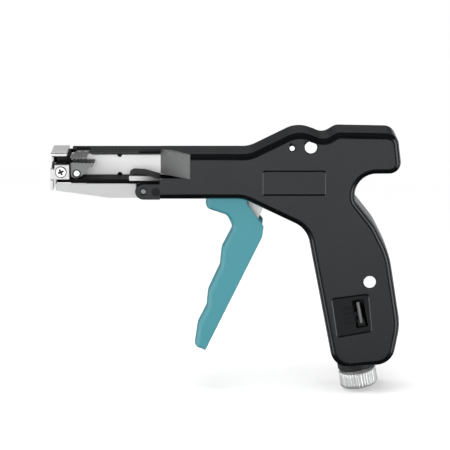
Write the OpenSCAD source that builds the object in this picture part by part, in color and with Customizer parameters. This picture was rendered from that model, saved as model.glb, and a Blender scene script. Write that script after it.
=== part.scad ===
// Hand tool that pulls a cable tie tight and cuts its tail off flush.
// The origin is on the front face of the nose, level with the strap, on the mid-plane.
// +X runs back along the barrel, +Z is up, and the open side of the nose faces -Y.

/* [Housing] */
// Length of the housing from the nose to the back of the head
body_l = 170; // [160:1:180]
// Thickness of the two halves together
body_t = 25; // [24:0.5:28]
// Wall of the housing
wall = 2.2; // [1.8:0.1:2.4]
// Radius that rounds the long edges of the housing
edge_r = 3; // [2:0.25:3.5]
// Height of the barrel
barrel_h = 22.2; // [21.8:0.1:23]
// Height of the barrel's top above the strap
rail_z = 3.5; // [3.4:0.05:4]
// Height of the head above the strap
head_rise = 14; // [13:0.5:16]
// Drop from the strap to the foot of the handle
grip_drop = 104.9; // [98:0.1:108]
// Depth of the handle from front to back
grip_depth = 36; // [34:0.5:38]
// Lean of the handle and of the tension spring in it
grip_lean = 10.8; // [10:0.1:11.5]

/* [Nose] */
// Width of the nose
nose_w = 18.7; // [18.3:0.1:19]
// Height of the gap that takes the strap
strap_gap = 3.2; // [2.8:0.1:3.4]
// Sheet of the front plate and of the cap
plate_t = 1.3; // [1.1:0.1:1.4]
// Diameter of the nose screw's head
nose_screw_d = 5.4; // [4.8:0.1:5.6]
// Width of the strap that the gripper takes
grip_w = 9.3; // [8.5:0.1:9.6]
// Thickness of the blade
blade_t = 1; // [0.8:0.05:1.05]

/* [Slider] */
// Height of the slider plate
slider_h = 9.95; // [9.4:0.05:10]
// Thickness of the slider plate
slider_t = 3; // [2.6:0.1:3.2]
// Height of the slider's tail
tail_h = 4; // [3.6:0.1:4.4]
// Outer diameter of the return spring
return_spring_d = 9.4; // [8.8:0.1:9.5]
// Diameter of the pawl's pin
pawl_pin_d = 3; // [2.4:0.1:3.2]

/* [Knife lever] */
// Sheet of the knife lever
lever_t = 1.1; // [0.9:0.05:1.15]
// Height of the knife lever at its root
lever_h = 6.9; // [6.4:0.1:7]
// Diameter of the pin that the knife lever turns on
knuckle_pin_d = 2.6; // [2.2:0.1:3]

/* [Trigger] */
// Length of the trigger from its pin to its tip
trigger_l = 82.5; // [78:0.5:85]
// Width of the trigger
trigger_w = 16; // [15.4:0.1:16.2]
// Wall of the trigger
trigger_wall = 1.8; // [1.5:0.1:2]
// Diameter of the trigger's pin
trigger_pin_d = 4; // [3.4:0.1:4.4]
// Width of the drive link
link_w = 9; // [8:0.1:9.4]
// Thickness of the drive link
link_t = 3; // [2.6:0.1:3.2]

/* [Tension setting] */
// Diameter of the rocker's pin
rocker_pin_d = 2.6; // [2.2:0.1:3]
// Diameter of the pin that stops the rocker
stop_pin_d = 6; // [5:0.1:6.2]
// Diameter of the spacer pin in the handle
handle_pin_d = 6.2; // [5:0.1:6.4]
// Diameter of the setting screw
screw_d = 6; // [5:0.1:6.4]
// Diameter of the tension spring
spring_d = 11.2; // [10.4:0.1:12]
// Length of the tension spring
spring_l = 48; // [44:0.5:50]
// Diameter of the knob
knob_d = 18.8; // [17:0.1:20]
// Height of the knob
knob_h = 8.1; // [7:0.1:10]
// Number of teeth round the knob
knob_teeth = 44; // [30:1:60]

/* [Hidden] */
$fn = 48;

// One overrun serves every cut.
over = 1;
// Gap between a pin and its bore, at each side
pin_gap = 0.05;
// Gap between flat pieces that slide on each other
slide_gap = 0.3;
// Gap round the one pivot that is left open in each closed linkage
open_gap = 0.35;
// Gap between a spring and the rod through it
spring_gap = 0.6;
// Gap beside a plate that passes another piece
side_gap = 0.2;
// Gap between flat pieces that lie on each other
flat_gap = 0.1;
half_t = body_t / 2;
inner_t = half_t - wall;
nose_y = nose_w / 2;
barrel_z = rail_z - barrel_h;
rail_t = 1.2;
floor_t = 2;
roof_z = rail_z - rail_t;
slider_down = 1.55;
slider_top = roof_z - slider_down;
slider_low = slider_top - slider_h;
floor_z = slider_low - flat_gap;
floor_under = floor_z - floor_t;
window_end = body_l * 0.3124;
nose_back = body_l * 0.0582;
round_steps = 5;

function unit(v) = v / norm(v);

// A rounded corner at b, between a and c, moved inward by an inset. One without a radius stays sharp.
function turn(a, b, c) = (b[0] - a[0]) * (c[1] - b[1]) - (b[1] - a[1]) * (c[0] - b[0]);
function corner(a, b, c, inset) =
    let(u = unit([a[0] - b[0], a[1] - b[1]]), w = unit([c[0] - b[0], c[1] - b[1]]),
        half = acos(u * w) / 2, way = turn(a, b, c) < 0 ? 1 : -1, mid = unit(u + w),
        r = max(b[2] - way * inset, b[2] / 20), p = [b[0], b[1]] + mid * (way * inset / sin(half)),
        o = p + mid * (r / sin(half)), s = unit(p + u * (r / tan(half)) - o),
        e = unit(p + w * (r / tan(half)) - o))
    b[2] == 0 ? [p] : [for (i = [0:round_steps]) let(t = i / round_steps) o + unit(s * (1 - t) + e * t) * r];
function rounded(pts, inset = 0) =
    [for (i = [0:len(pts) - 1])
        each corner(pts[(i + len(pts) - 1) % len(pts)], pts[i], pts[(i + 1) % len(pts)], inset)];

// A place in the handle, across its leaning axis and along it from the foot
collar_at = [body_l * 0.8824, -grip_drop * 0.9943];
function on_grip(across, along) = collar_at + across * [cos(grip_lean), sin(grip_lean)]
    + along * [-sin(grip_lean), cos(grip_lean)];

// The tension rod's eye, at the top of the handle's axis; the front of the head is laid out from it
rod_eye_s = grip_drop * 1.0185;
rod_eye = on_grip(0, rod_eye_s);

// Corners of the housing's outline, clockwise from the near side, each with its radius.
// Those of the head are shares of the body's length, from the rod's eye for its front and from the nose
// for its back, and of the head's rise. Those of the handle lie across and along its axis, as shares of
// its depth and its drop.
front_shares = [[-0.0576, 1.09, 1.0], [0.0154, 0.745, 0.43], [0.0514, 1.014, 0.43]];
back_shares = [[0.987, 0.975, 0.42], [1.0024, -0.443, 0.393]];
grip_shares = [[0.436, 0.9215, 0.286], [0.379, 0.799, 0.167], [0.584, 0.6635, 0.694], [0.71, 0.5145, 1.11],
    [0.686, 0.1666, 0.833], [0.484, -0.0152, 0.264], [-0.316, 0.011, 0.264], [-0.3256, 0.7065, 0.361]];
hump_x = rod_eye[0] - body_l * 0.197;
underside_x = body_l * 0.55;
outline = concat([[nose_back, rail_z, 0], [hump_x, rail_z, head_rise]],
    [for (s = front_shares) [rod_eye[0] + s[0] * body_l, s[1] * head_rise, s[2] * head_rise]],
    [for (s = back_shares) [s[0] * body_l, s[1] * head_rise, s[2] * head_rise]],
    [for (s = grip_shares) let(p = on_grip(s[0] * grip_depth, s[1] * grip_drop))
        [p[0], p[1], s[2] * grip_depth]],
    [[underside_x, barrel_z, head_rise], [nose_back, barrel_z, 0]]);

// Lays a shape that was drawn in X and Z, from depth y0 to depth y1.
module slab(y0, y1) { translate([0, y1, 0]) rotate([90, 0, 0]) linear_extrude(y1 - y0) children(); }
// A round bar along Y at a place in X and Z.
module bar(at, d, y0, y1) { translate([at[0], y1, at[1]]) rotate([90, 0, 0]) cylinder(d = d, h = y1 - y0); }
module block(low, high) { translate(low) cube(high - low); }
module disc(at, d) { translate(at) circle(d = d); }

// Stations of the pins
knuckle_r = 4.03;
knuckle_drop = 3.37;
knuckle = [body_l * 0.2659, floor_under - knuckle_drop];
trigger_up = 0.676;
trigger_at = [body_l * 0.5294, knuckle[1] + trigger_up];
rocker_reach = body_l * 0.07647;
rocker_rise = 6.05;
rocker_at = rod_eye + [-rocker_reach, rocker_rise];
stop_back = body_l * 0.02353;
stop_rise = 6.55;
stop_at = rod_eye + [-stop_back, stop_rise];
handle_at = on_grip(grip_depth * 0.3806, grip_drop * 0.405);

// Screw bosses: under the cut-off rod, in the head, and before and behind the tension spring
rod_lift = 3.5;
rod_h = 2.2;
boss_d = 5.2;
boss_gap = 0.43;
boss_z = knuckle[1] + rod_lift - (rod_h + boss_d) / 2 - boss_gap;
bosses = [[body_l * 0.4165, boss_z], [body_l * 0.933, -head_rise * 0.14],
    on_grip(-grip_depth * 0.346, grip_drop * 0.8019), on_grip(grip_depth * 0.36, grip_drop * 0.1477)];
boss_screw_d = 2.6;
boss_head_d = 5.4;
boss_head_h = 1.6;
pin_boss_d = 8.4;
pin_sink = 0.2;

// Depths in Y of the things in front of the slider, and of the slider itself
slider_y0 = nose_w * 0.0856;
slider_y1 = slider_y0 + slider_t;
slider_y = (slider_y0 + slider_y1) / 2;
reach_y = slider_y0 - slide_gap;
grip_y = reach_y - grip_w;
floor_in = 4;
floor_y = -half_t + floor_in;
rail_in = 8.5;
rail_y = -half_t + rail_in;
ear_t = 1.2;
ear_y1 = -nose_y + ear_t;
arm_t = 1.55;
lever_y1 = -half_t + arm_t;
lever_y2 = lever_y1 + lever_t;
rod_gap = 0.25;
rod_y0 = lever_y2 + rod_gap;
rod_t = 0.9;

// Housing
slot_front = trigger_at[0] - trigger_l * 0.199;
slot_back = trigger_at[0] + trigger_l * 0.26;
slot_y = trigger_w / 2 + slide_gap;
collar_h = 3;
collar_up = 4;
collar_step = 0.4;
collar_d = knob_d - collar_step;
scoop_end = body_l * 0.3994;
scoop_up = 0.8;
scoop_z = floor_z + scoop_up;
label_low = [body_l * 0.6035, rail_z - barrel_h * 0.914];
label_high = [body_l * 0.7865, rail_z - barrel_h * 0.342];
label_round = 1.5;
recess = 0.4;
plaque_low = [-7.2, 16.8];
plaque_high = [11, 36.9];
plaque_round = 2;
gauge_x = 6.2;
gauge_d = 1.8;
gauge_l = 10.8;
gauge_s = 22;
gauge_w = 6;
gauge_travel = 2;
tick_l = 5.2;
tick_t = 0.6;
tick_gap = 2.5;
ticks = 4;
guide_x = body_l * 0.5542;
guide_t = 2.8;
spring_over = 1;
tail_z = rail_z - wall - return_spring_d / 2 - spring_over;
tail_gap = 0.2;

// A half's wall in section, each corner as its inset from the outline and its depth. It starts at the inner
// corner, from which every other corner can be seen.
plate_in = edge_r + wall;
section = concat([[wall, inner_t], [wall, 0], [0, 0]],
    [for (a = [0:22.5:90]) [edge_r * (1 - cos(a)), half_t - edge_r + edge_r * sin(a)]],
    [[plate_in, half_t], [plate_in, inner_t]]);
function open_outline(inset) = [for (p = rounded(outline, inset)) [max(p[0], window_end), p[1]]];
module half_wall() {
    n = len(open_outline(0));
    m = len(section);
    polyhedron(
        [for (c = section) each [for (p = open_outline(c[0])) [p[0], -c[1], p[1]]]],
        concat([[for (k = [0:m - 1]) k * n], [for (k = [m:-1:1]) (k % m) * n + n - 1]],
            [for (k = [0:m - 1], i = [0:n - 2]) each let(a = k * n + i, b = (k + 1) % m * n + i)
                [[a, a + 1, b + 1], [a, b + 1, b]]]));
    slab(-half_t, -inner_t) polygon(open_outline(edge_r + wall / 2));
}
module along_axis(s = 0) {
    translate([collar_at[0], 0, collar_at[1]]) rotate([0, -grip_lean, 0]) translate([0, 0, s]) children();
}
// Lays a shape drawn in the plane of the handle's axis, across it and along it.
module axis_slab(y0, y1) { along_axis() slab(y0, y1) children(); }
module sleeve(at, d, bore, y0, y1) {
    difference() {
        bar(at, d, y0, y1);
        bar(at, bore, y0 - over, y1 + over);
    }
}
// One half of the housing without the nose, on the near side
module shell_half() {
    difference() {
        union() {
            half_wall();
            bar(trigger_at, pin_boss_d, -inner_t, -slot_y);
        }
        bar(trigger_at, trigger_pin_d + 2 * pin_gap, -inner_t, over);
        block([slot_front, -slot_y, floor_under - barrel_h], [slot_back, over, trigger_at[1] + trigger_l * 0.06]);
        along_axis(-collar_h - over) cylinder(d = collar_d + 2 * pin_gap, h = collar_h + collar_up + 2 * over);
        bar(rocker_at, rocker_pin_d + 2 * pin_gap, -body_t, over);
        bar(stop_at, stop_pin_d + 2 * pin_gap, -body_t, over);
        bar(handle_at, handle_pin_d + 2 * pin_gap, -body_t, over);
    }
    sleeve(handle_at, pin_boss_d, handle_pin_d + 2 * pin_gap, -inner_t, 0);
    for (b = bosses) sleeve(b, boss_d, boss_screw_d + 2 * pin_gap, -inner_t, 0);
}
// The arm that carries the knife lever's pin runs forward of the side wall.
module knuckle_arm() {
    slab(-half_t, lever_y1 - side_gap) difference() {
        union() {
            disc(knuckle, 2 * knuckle_r);
            translate(knuckle - [0, knuckle_r]) square([window_end - knuckle[0], 2 * knuckle_r]);
        }
        disc(knuckle, knuckle_pin_d + 2 * pin_gap);
    }
}
// The way out for the tie's tail, through the side and the top of the near half
ramp_back = scoop_end - window_end;
ramp_foot_x = window_end + ramp_back * 0.338;
ramp_neck = 0.9;
ramp_lip = 1.3;
ramp_lip_y = -half_t + ramp_lip;
module scoop_cut() {
    translate([0, 0, scoop_z]) linear_extrude(rail_z - scoop_z + over) polygon([
        [window_end - over, -body_t], [scoop_end + pin_gap, -body_t], [scoop_end + pin_gap, ramp_lip_y],
        [ramp_foot_x + pin_gap, reach_y - ramp_neck], [ramp_foot_x, over],
        [window_end - over, over]]);
}
rail_slope_x = body_l * 0.252;
module field(low, high, r) {
    polygon(rounded([[low[0], high[1], r], [high[0], high[1], r], [high[0], low[1], r], [low[0], low[1], r]]));
}
module housing_near() {
    color("#26282a") {
        difference() {
            shell_half();
            scoop_cut();
            for (b = bosses) bar(b, boss_screw_d + 2 * pin_gap, -inner_t, over);
            slab(-half_t - over, -half_t + recess) field(label_low, label_high, label_round);
            axis_slab(-half_t - over, -half_t + recess) field(plaque_low, plaque_high, plaque_round);
            axis_slab(-half_t - over, -inner_t + over)
                translate([gauge_x - gauge_w / 2, gauge_s - gauge_travel])
                    square([gauge_w, gauge_l + 2 * gauge_travel]);
        }
        axis_slab(-half_t + recess / 2, -half_t + 2 * recess) for (i = [0:ticks - 1])
            translate([gauge_x - gauge_w / 2 - tick_l, gauge_s + tick_gap * i + tick_gap / 2])
                square([tick_l, tick_t]);
        knuckle_arm();
    }
}
rail_notch = 9.1;
notch_y = 6.3;
cheek_y = -ear_y1;
cheek_back = 1.45;
cheek_x = plate_t + cheek_back;
guide_side = 1;
module housing_far() {
    color("#26282a") {
        difference() {
            mirror([0, 1, 0]) shell_half();
            block([0, -over, scoop_z], [ramp_foot_x + 2 * pin_gap, reach_y + pin_gap, rail_z + over]);
            for (b = bosses) bar(b, boss_head_d + 2 * pin_gap, half_t - boss_head_h - pin_sink, body_t);
            for (b = bosses) bar(b, boss_screw_d + 2 * pin_gap, -over, body_t);
        }
        mirror([0, 1, 0]) knuckle_arm();
        // Channel of the nose: roof, side wall and floor
        difference() {
            translate([nose_back, 0, 0]) rotate([90, 0, 90]) linear_extrude(window_end - nose_back)
                polygon(concat(
                    [[0, floor_under], [half_t - edge_r / 2, floor_under], [half_t, floor_under + edge_r / 2]],
                    [for (a = [0:30:90])
                        [half_t - edge_r + edge_r * cos(a), rail_z - edge_r + edge_r * sin(a)]],
                    [[0, rail_z], [0, roof_z], [inner_t, roof_z], [inner_t, floor_z], [0, floor_z]]));
            block([nose_back - over, -over, roof_z - over], [nose_back + rail_notch, notch_y, rail_z + over]);
        }
        block([nose_back, floor_y, floor_under], [window_end + ramp_back * 0.5, inner_t + over, floor_z]);
        // Rail over the strap, flat at the nose and sloped by the way out
        block([nose_back + rail_notch, rail_y, roof_z], [rail_slope_x, over, rail_z]);
        translate([rail_slope_x, 0, 0]) rotate([90, 0, 90]) linear_extrude(window_end - rail_slope_x)
            polygon([[rail_y, roof_z], [over, roof_z], [over, rail_z], [-rail_t / 2, rail_z],
                [rail_y, roof_z + rail_t / 4]]);
        block([nose_back, cheek_y, floor_z], [nose_back + wall, inner_t, roof_z]);
        block([plate_t, cheek_y, knuckle[1]], [nose_back, nose_y, rail_z - plate_t]);
        // Plate that guides the slider's tail and holds the end of its spring
        difference() {
            block([guide_x, slider_y0 - guide_side, tail_z - tail_h],
                [guide_x + guide_t, inner_t, rail_z - wall]);
            block([guide_x - over, slider_y0 - tail_gap, tail_z - tail_h / 2 - tail_gap],
                [guide_x + guide_t + over, slider_y1 + tail_gap, tail_z + tail_h / 2 + tail_gap]);
        }
    }
}
module housing_screws() {
    color("#3a3c3e") for (b = bosses) difference() {
        union() {
            bar(b, boss_screw_d, -inner_t + wall, half_t - boss_head_h);
            bar(b, boss_head_d, half_t - boss_head_h - pin_sink, half_t - pin_sink);
        }
        bar_hex(b, boss_screw_d, half_t - boss_head_h / 2 - pin_sink, half_t + over);
    }
}
module bar_hex(at, d, y0, y1) { bar(at, d, y0, y1, $fn = 6); }
module knuckle_pin() { color("silver") bar(knuckle, knuckle_pin_d, -half_t + pin_sink, half_t - pin_sink); }
front_screw_back = 5.9;
front_screw_down = 0.3;
front_screw_at = knuckle + [front_screw_back, -front_screw_down];
front_screw_d = 4.2;
front_screw_h = 0.3;
module cross_cut(w, t) {
    square([w, t], center = true);
    square([t, w], center = true);
}
module front_screw() {
    color("#2c2e30") difference() {
        bar(front_screw_at, front_screw_d, -half_t - front_screw_h, -half_t);
        slab(-half_t - over, -half_t - front_screw_h / 3) translate(front_screw_at) rotate(20)
            cross_cut(front_screw_d * 0.6, front_screw_d * 0.16);
    }
}

// Nose
cap_x0 = 0.5;
cap_l = 7.7;
cap_up = 0.4;
slot_y1 = -1.5;
ear_l = 9.2;
ear_h = 7.1;
mouth_drop = 4.3;
mouth_in = 2.2;
relief = 0.5;
lip_x0 = 0.9;
ear_z1 = floor_z + ear_h;
nose_screw_x = 5.15;
nose_screw_at = [nose_screw_x, floor_z + ear_h / 2 + flat_gap];
nose_screw_shank = 3;
nose_screw_sink = 0.6;
nose_screw_proud = 0.25;
nose_screw_l = 4.35;
blade_gap = 0.15;
blade_y0 = -7.5;
insert_up = 1.9;
insert_z0 = floor_z + insert_up;
insert_l = 4.75;
module nose_cap() {
    color("silver") block([cap_x0, -nose_y, rail_z - plate_t], [cap_x0 + cap_l, nose_y, rail_z + cap_up]);
}
module face_plate() {
    color("silver") difference() {
        union() {
            block([0, -nose_y, knuckle[1]], [plate_t, nose_y, rail_z - plate_t]);
            block([0, -nose_y, floor_z], [ear_l, ear_y1, ear_z1]);
        }
        block([-over, -nose_y - over, -strap_gap / 2], [plate_t + over, slot_y1, strap_gap / 2]);
        // The insert shows where the plate is cut away beside the strap, and a small cut frees the folded ear
        block([-over, -nose_y - over, -mouth_drop], [mouth_in, slot_y1, rail_z]);
        block([-over, -nose_y - over, floor_z - relief], [plate_t + over, ear_y1 + relief, floor_z]);
        bar(nose_screw_at, nose_screw_shank + 2 * pin_gap, -nose_w, nose_w);
        bar(nose_screw_at, nose_screw_d + 2 * pin_gap, -nose_w, -nose_y + nose_screw_sink);
    }
}
module nose_screw() {
    color("silver") difference() {
        union() {
            bar(nose_screw_at, nose_screw_shank, -nose_y, -nose_y + nose_screw_l);
            bar(nose_screw_at, nose_screw_d, -nose_y - nose_screw_proud, -nose_y + nose_screw_sink);
        }
        slab(-nose_w, -nose_y + nose_screw_sink / 3) translate(nose_screw_at) rotate(22)
            cross_cut(nose_screw_d * 0.55, nose_screw_d * 0.16);
    }
}
module nose_insert() {
    color("#1d1e20") difference() {
        union() {
            block([cheek_x, ear_y1, insert_z0], [ear_l, cheek_y, rail_z - plate_t]);
            block([lip_x0, ear_y1, -mouth_drop + flat_gap],
                  [cheek_x + over, slot_y1 - flat_gap, rail_z - plate_t]);
        }
        block([plate_t, blade_y0 - blade_gap, -mouth_drop], [cheek_x, 0, rail_z]);
        block([0, ear_y1 - over, -strap_gap / 2], [ear_l + over, slot_y1, strap_gap / 2]);
        block([cheek_x + insert_l, ear_y1 - over, insert_z0 - over], [ear_l + over, slider_y0, rail_z]);
        bar(nose_screw_at, nose_screw_shank + 2 * pin_gap, -nose_w, -nose_y + nose_screw_l + over);
    }
}
guide_bar_x = nose_back + wall + slide_gap;
module slide_guide() {
    color("#1d1e20")
        block([guide_bar_x, slider_y1 + slide_gap, floor_z],
            [window_end - over, inner_t, slider_top + side_gap]);
}
// The finger's rounded side, as shares of its length and its height, each with a radius in shares of the height
finger_l = 14.8;
finger_h = 3.2;
finger_shares = [[0, 0, 0.15], [0, 0.75, 0.3], [0.14, 1.05, 0.5], [0.5, 0.95, 1.2], [1, 0.25, 0.1], [1, 0, 0]];
module guide_finger() {
    color("#77797b") slab(-half_t + side_gap, reach_y) translate([window_end - finger_l, floor_z])
        polygon(rounded([for (s = finger_shares) [s[0] * finger_l, s[1] * finger_h, s[2] * finger_h]]));
}
ramp_step = 5;
module tail_ramp() {
    color("#737577") {
        translate([0, 0, scoop_z]) linear_extrude(rail_z - scoop_z) polygon([
            [window_end + pin_gap, reach_y], [window_end + ramp_back * 0.3, reach_y - ramp_step],
            [scoop_end - ramp_lip / 2, -half_t + pin_sink], [scoop_end, -half_t + pin_sink],
            [scoop_end, ramp_lip_y],
            [ramp_foot_x, reach_y - ramp_neck], [ramp_foot_x, reach_y]]);
        block([window_end + ramp_back * 0.15, reach_y - ramp_neck, floor_z],
            [window_end + ramp_back * 0.33, reach_y, scoop_z]);
    }
}

// Pins in the housing
module trigger_pin() { color("silver") bar(trigger_at, trigger_pin_d, -inner_t, inner_t); }
module rocker_pin() { color("silver") bar(rocker_at, rocker_pin_d, -half_t + pin_sink, half_t - pin_sink); }
module stop_pin() { color("silver") bar(stop_at, stop_pin_d, -half_t + pin_sink, half_t - pin_sink); }
module handle_pin() { color("silver") bar(handle_at, handle_pin_d, -half_t + pin_sink, half_t - pin_sink); }

// Trigger, in shares of its length from its pin
trigger_shares = [[-0.17, -0.012, 0.018], [-0.055, 0.051, 0.036], [0.055, 0.043, 0.045], [0.067, -0.091, 0.048],
    [0.133, -0.188, 0.018], [0.165, -0.23, 0.024], [0.156, -0.297, 0.061], [-0.189, -1.0126, 0.02],
    [-0.251, -0.9915, 0.03], [-0.2296, -0.8474, 0.08], [-0.177, -0.742, 0.06], [-0.1673, -0.6424, 0.07],
    [-0.0965, -0.4885, 0.08], [-0.0853, -0.379, 0.07], [-0.0188, -0.2495, 0.05], [-0.053, -0.177, 0.05],
    [-0.182, -0.134, 0.04]];
trigger_outline = [for (s = trigger_shares)
    [trigger_at[0] + s[0] * trigger_l, trigger_at[1] + s[1] * trigger_l, s[2] * trigger_l]];
link_low = [trigger_at[0] + trigger_l * 0.0727, trigger_at[1] - trigger_l * 0.2061];
link_top = [trigger_at[0] + trigger_l * 0.2061, tail_z];
link_pin_d = 3.6;
link_hub_t = 1.2;
link_seat = 1;
link_len = norm(link_top - link_low);
link_y1 = slider_y0 - slide_gap;
link_y0 = link_y1 - link_t;
trigger_in = trigger_w / 2 - trigger_wall;
module trigger() {
    color("#4f9faa") difference() {
        slab(-trigger_w / 2, trigger_w / 2) polygon(rounded(trigger_outline));
        for (d = [0, 1]) translate([d * 2 * trigger_wall, 0, 0])
            slab(-trigger_in, trigger_in) polygon(rounded(trigger_outline, trigger_wall));
        bar(trigger_at, trigger_pin_d + 2 * pin_gap, -trigger_w, trigger_w);
        bar(link_low, link_pin_d + 2 * pin_gap, -trigger_in - link_seat, trigger_w);
    }
}
module link_pin() { color("silver") bar(link_low, link_pin_d, -trigger_in - link_seat, trigger_w / 2); }
module drive_link() {
    lean = atan2(link_top[0] - link_low[0], link_top[1] - link_low[1]);
    color("silver") difference() {
        union() {
            slab(link_y0, link_y1) {
                disc(link_low, link_w);
                disc(link_top, link_w);
                translate(link_low) rotate(-lean) translate([-link_w / 2, 0]) square([link_w, link_len]);
            }
            bar(link_low, link_pin_d + 2 * link_hub_t, -trigger_in + slide_gap, trigger_in - slide_gap);
        }
        bar(link_low, link_pin_d + 2 * pin_gap, -trigger_w, trigger_w);
        bar(link_top, link_pin_d + 2 * open_gap, -trigger_w, trigger_w);
    }
}

// Slider and gripper
slider_x0 = nose_back - side_gap;
slider_past = 2.9;
slider_x1 = window_end + slider_past;
anvil_x0 = slider_x0 + flat_gap;
anvil_l = 8.6;
anvil_top = roof_z - side_gap;
anvil_t = 0.9;
anvil_y1 = notch_y - flat_gap;
rivet_d = 1.6;
rivets = [anvil_x0 + anvil_l * 0.4, anvil_x0 + anvil_l * 0.8];
groove_w = 1.4;
groove_d = 0.35;
notch_x = body_l * 0.1953;
notch_d = 2.4;
spring_x0 = body_l * 0.3882;
spring_stop = 2;
pawl_in = 3;
pawl_up = 2.5;
pawl_at = [slider_x0 + pawl_in, slider_low + pawl_up];
module slider() {
    color("silver") {
        difference() {
            slab(slider_y0, slider_y1) difference() {
                union() {
                    translate([slider_x0, slider_low]) square([slider_x1 - slider_x0, slider_h]);
                    translate([slider_x0, slider_low])
                        square([anvil_l + side_gap, anvil_top - anvil_t - slider_low]);
                    translate([slider_x1 - over, tail_z - tail_h / 2])
                        square([link_top[0] - slider_x1 + over, tail_h]);
                    disc(link_top, 2 * link_pin_d);
                }
                for (z = [slider_low, slider_top]) disc([notch_x, z], notch_d);
                disc(link_top, link_pin_d + 2 * pin_gap);
                disc(pawl_at, pawl_pin_d + 2 * pin_gap);
            }
            for (x = rivets) translate([x, slider_y, slider_top - 2 * rivet_d])
                cylinder(d = rivet_d + 2 * pin_gap, h = 4 * rivet_d);
        }
        difference() {
            translate([spring_x0 - spring_stop, slider_y, tail_z]) rotate([0, 90, 0])
                cylinder(d = return_spring_d, h = spring_stop);
            block([0, slider_y0, tail_z - tail_h / 2], [body_l, slider_y1, tail_z + tail_h / 2]);
        }
    }
}
slide_pin_proud = 0.8;
module slide_pin() { color("silver") bar(link_top, link_pin_d, link_y0 - slide_pin_proud, slider_y1); }
module anvil() {
    color("silver") difference() {
        translate([0, 0, anvil_top - anvil_t]) linear_extrude(anvil_t) polygon([
            [anvil_x0, grip_y], [anvil_x0 + anvil_l * 0.9, grip_y], [anvil_x0 + anvil_l, anvil_y1],
            [anvil_x0 + anvil_l * 0.3, anvil_y1], [anvil_x0, grip_y + grip_w * 0.4]]);
        for (i = [0:2]) block([0, grip_y + groove_w * (1 + 2 * i), anvil_top - groove_d],
            [body_l, grip_y + groove_w * (2 + 2 * i), anvil_top + over]);
        for (x = rivets) translate([x, slider_y, 0]) cylinder(d = rivet_d + 2 * pin_gap, h = roof_z);
    }
}
module anvil_rivets() {
    color("silver") for (x = rivets) translate([x, slider_y, slider_top - 2 * rivet_d])
        cylinder(d = rivet_d, h = anvil_top - slider_top + 2 * rivet_d);
}
pawl_pin_in = 0.5;
module pawl_pin() { color("silver") bar(pawl_at, pawl_pin_d, grip_y + pawl_pin_in, slider_y1); }
teeth = 6;
tooth_h = 0.55;
pawl_spring_d = 2 * (pawl_up + flat_gap - side_gap);
pawl_spring_t = 1.9;
pawl_ring = 0.55;
pawl_ring_t = 0.8;
// The pawl's outline, as shares of the slider's height from the pawl's pin
pawl_shares = [[-0.28, 0.53], [-0.28, 0.1], [-0.27, -0.14], [-0.1, -0.22], [0.06, -0.22], [0.18, -0.14],
    [0.35, -0.03], [0.53, 0.24], [0.81, 0.37], [0.86, 0.5]];
module pawl() {
    first = pawl_at + pawl_shares[0] * slider_h;
    last = pawl_at + pawl_shares[len(pawl_shares) - 1] * slider_h;
    step = (last - first) / teeth;
    color("#7d7f80") difference() {
        slab(grip_y, reach_y) polygon(concat([for (s = pawl_shares) pawl_at + s * slider_h],
            [for (i = [teeth - 1:-1:1]) each [first + step * (i + 0.6) + [0, tooth_h * (1 - i / teeth / 2)],
                first + step * i]],
            [first + step * 0.6 + [0, tooth_h]]));
        bar(pawl_at, pawl_pin_d + 2 * pin_gap, -body_t, body_t);
        bar(pawl_at, pawl_pin_d + 2 * pawl_ring, -body_t, grip_y + pawl_ring_t);
        bar(pawl_at, pawl_spring_d + slide_gap, reach_y - pawl_spring_t - slide_gap, body_t);
    }
}
module pawl_spring() {
    color("silver") sleeve(pawl_at, pawl_spring_d, pawl_pin_d + 4 * pin_gap, reach_y - pawl_spring_t, reach_y);
}
module return_spring() {
    bore = norm([tail_h, slider_t]) + spring_gap * 2;
    color("silver") translate([spring_x0, slider_y, tail_z]) rotate([0, 90, 0]) difference() {
        cylinder(d = return_spring_d, h = guide_x - spring_x0);
        translate([0, 0, -over]) cylinder(d = bore, h = guide_x);
    }
}

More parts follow.
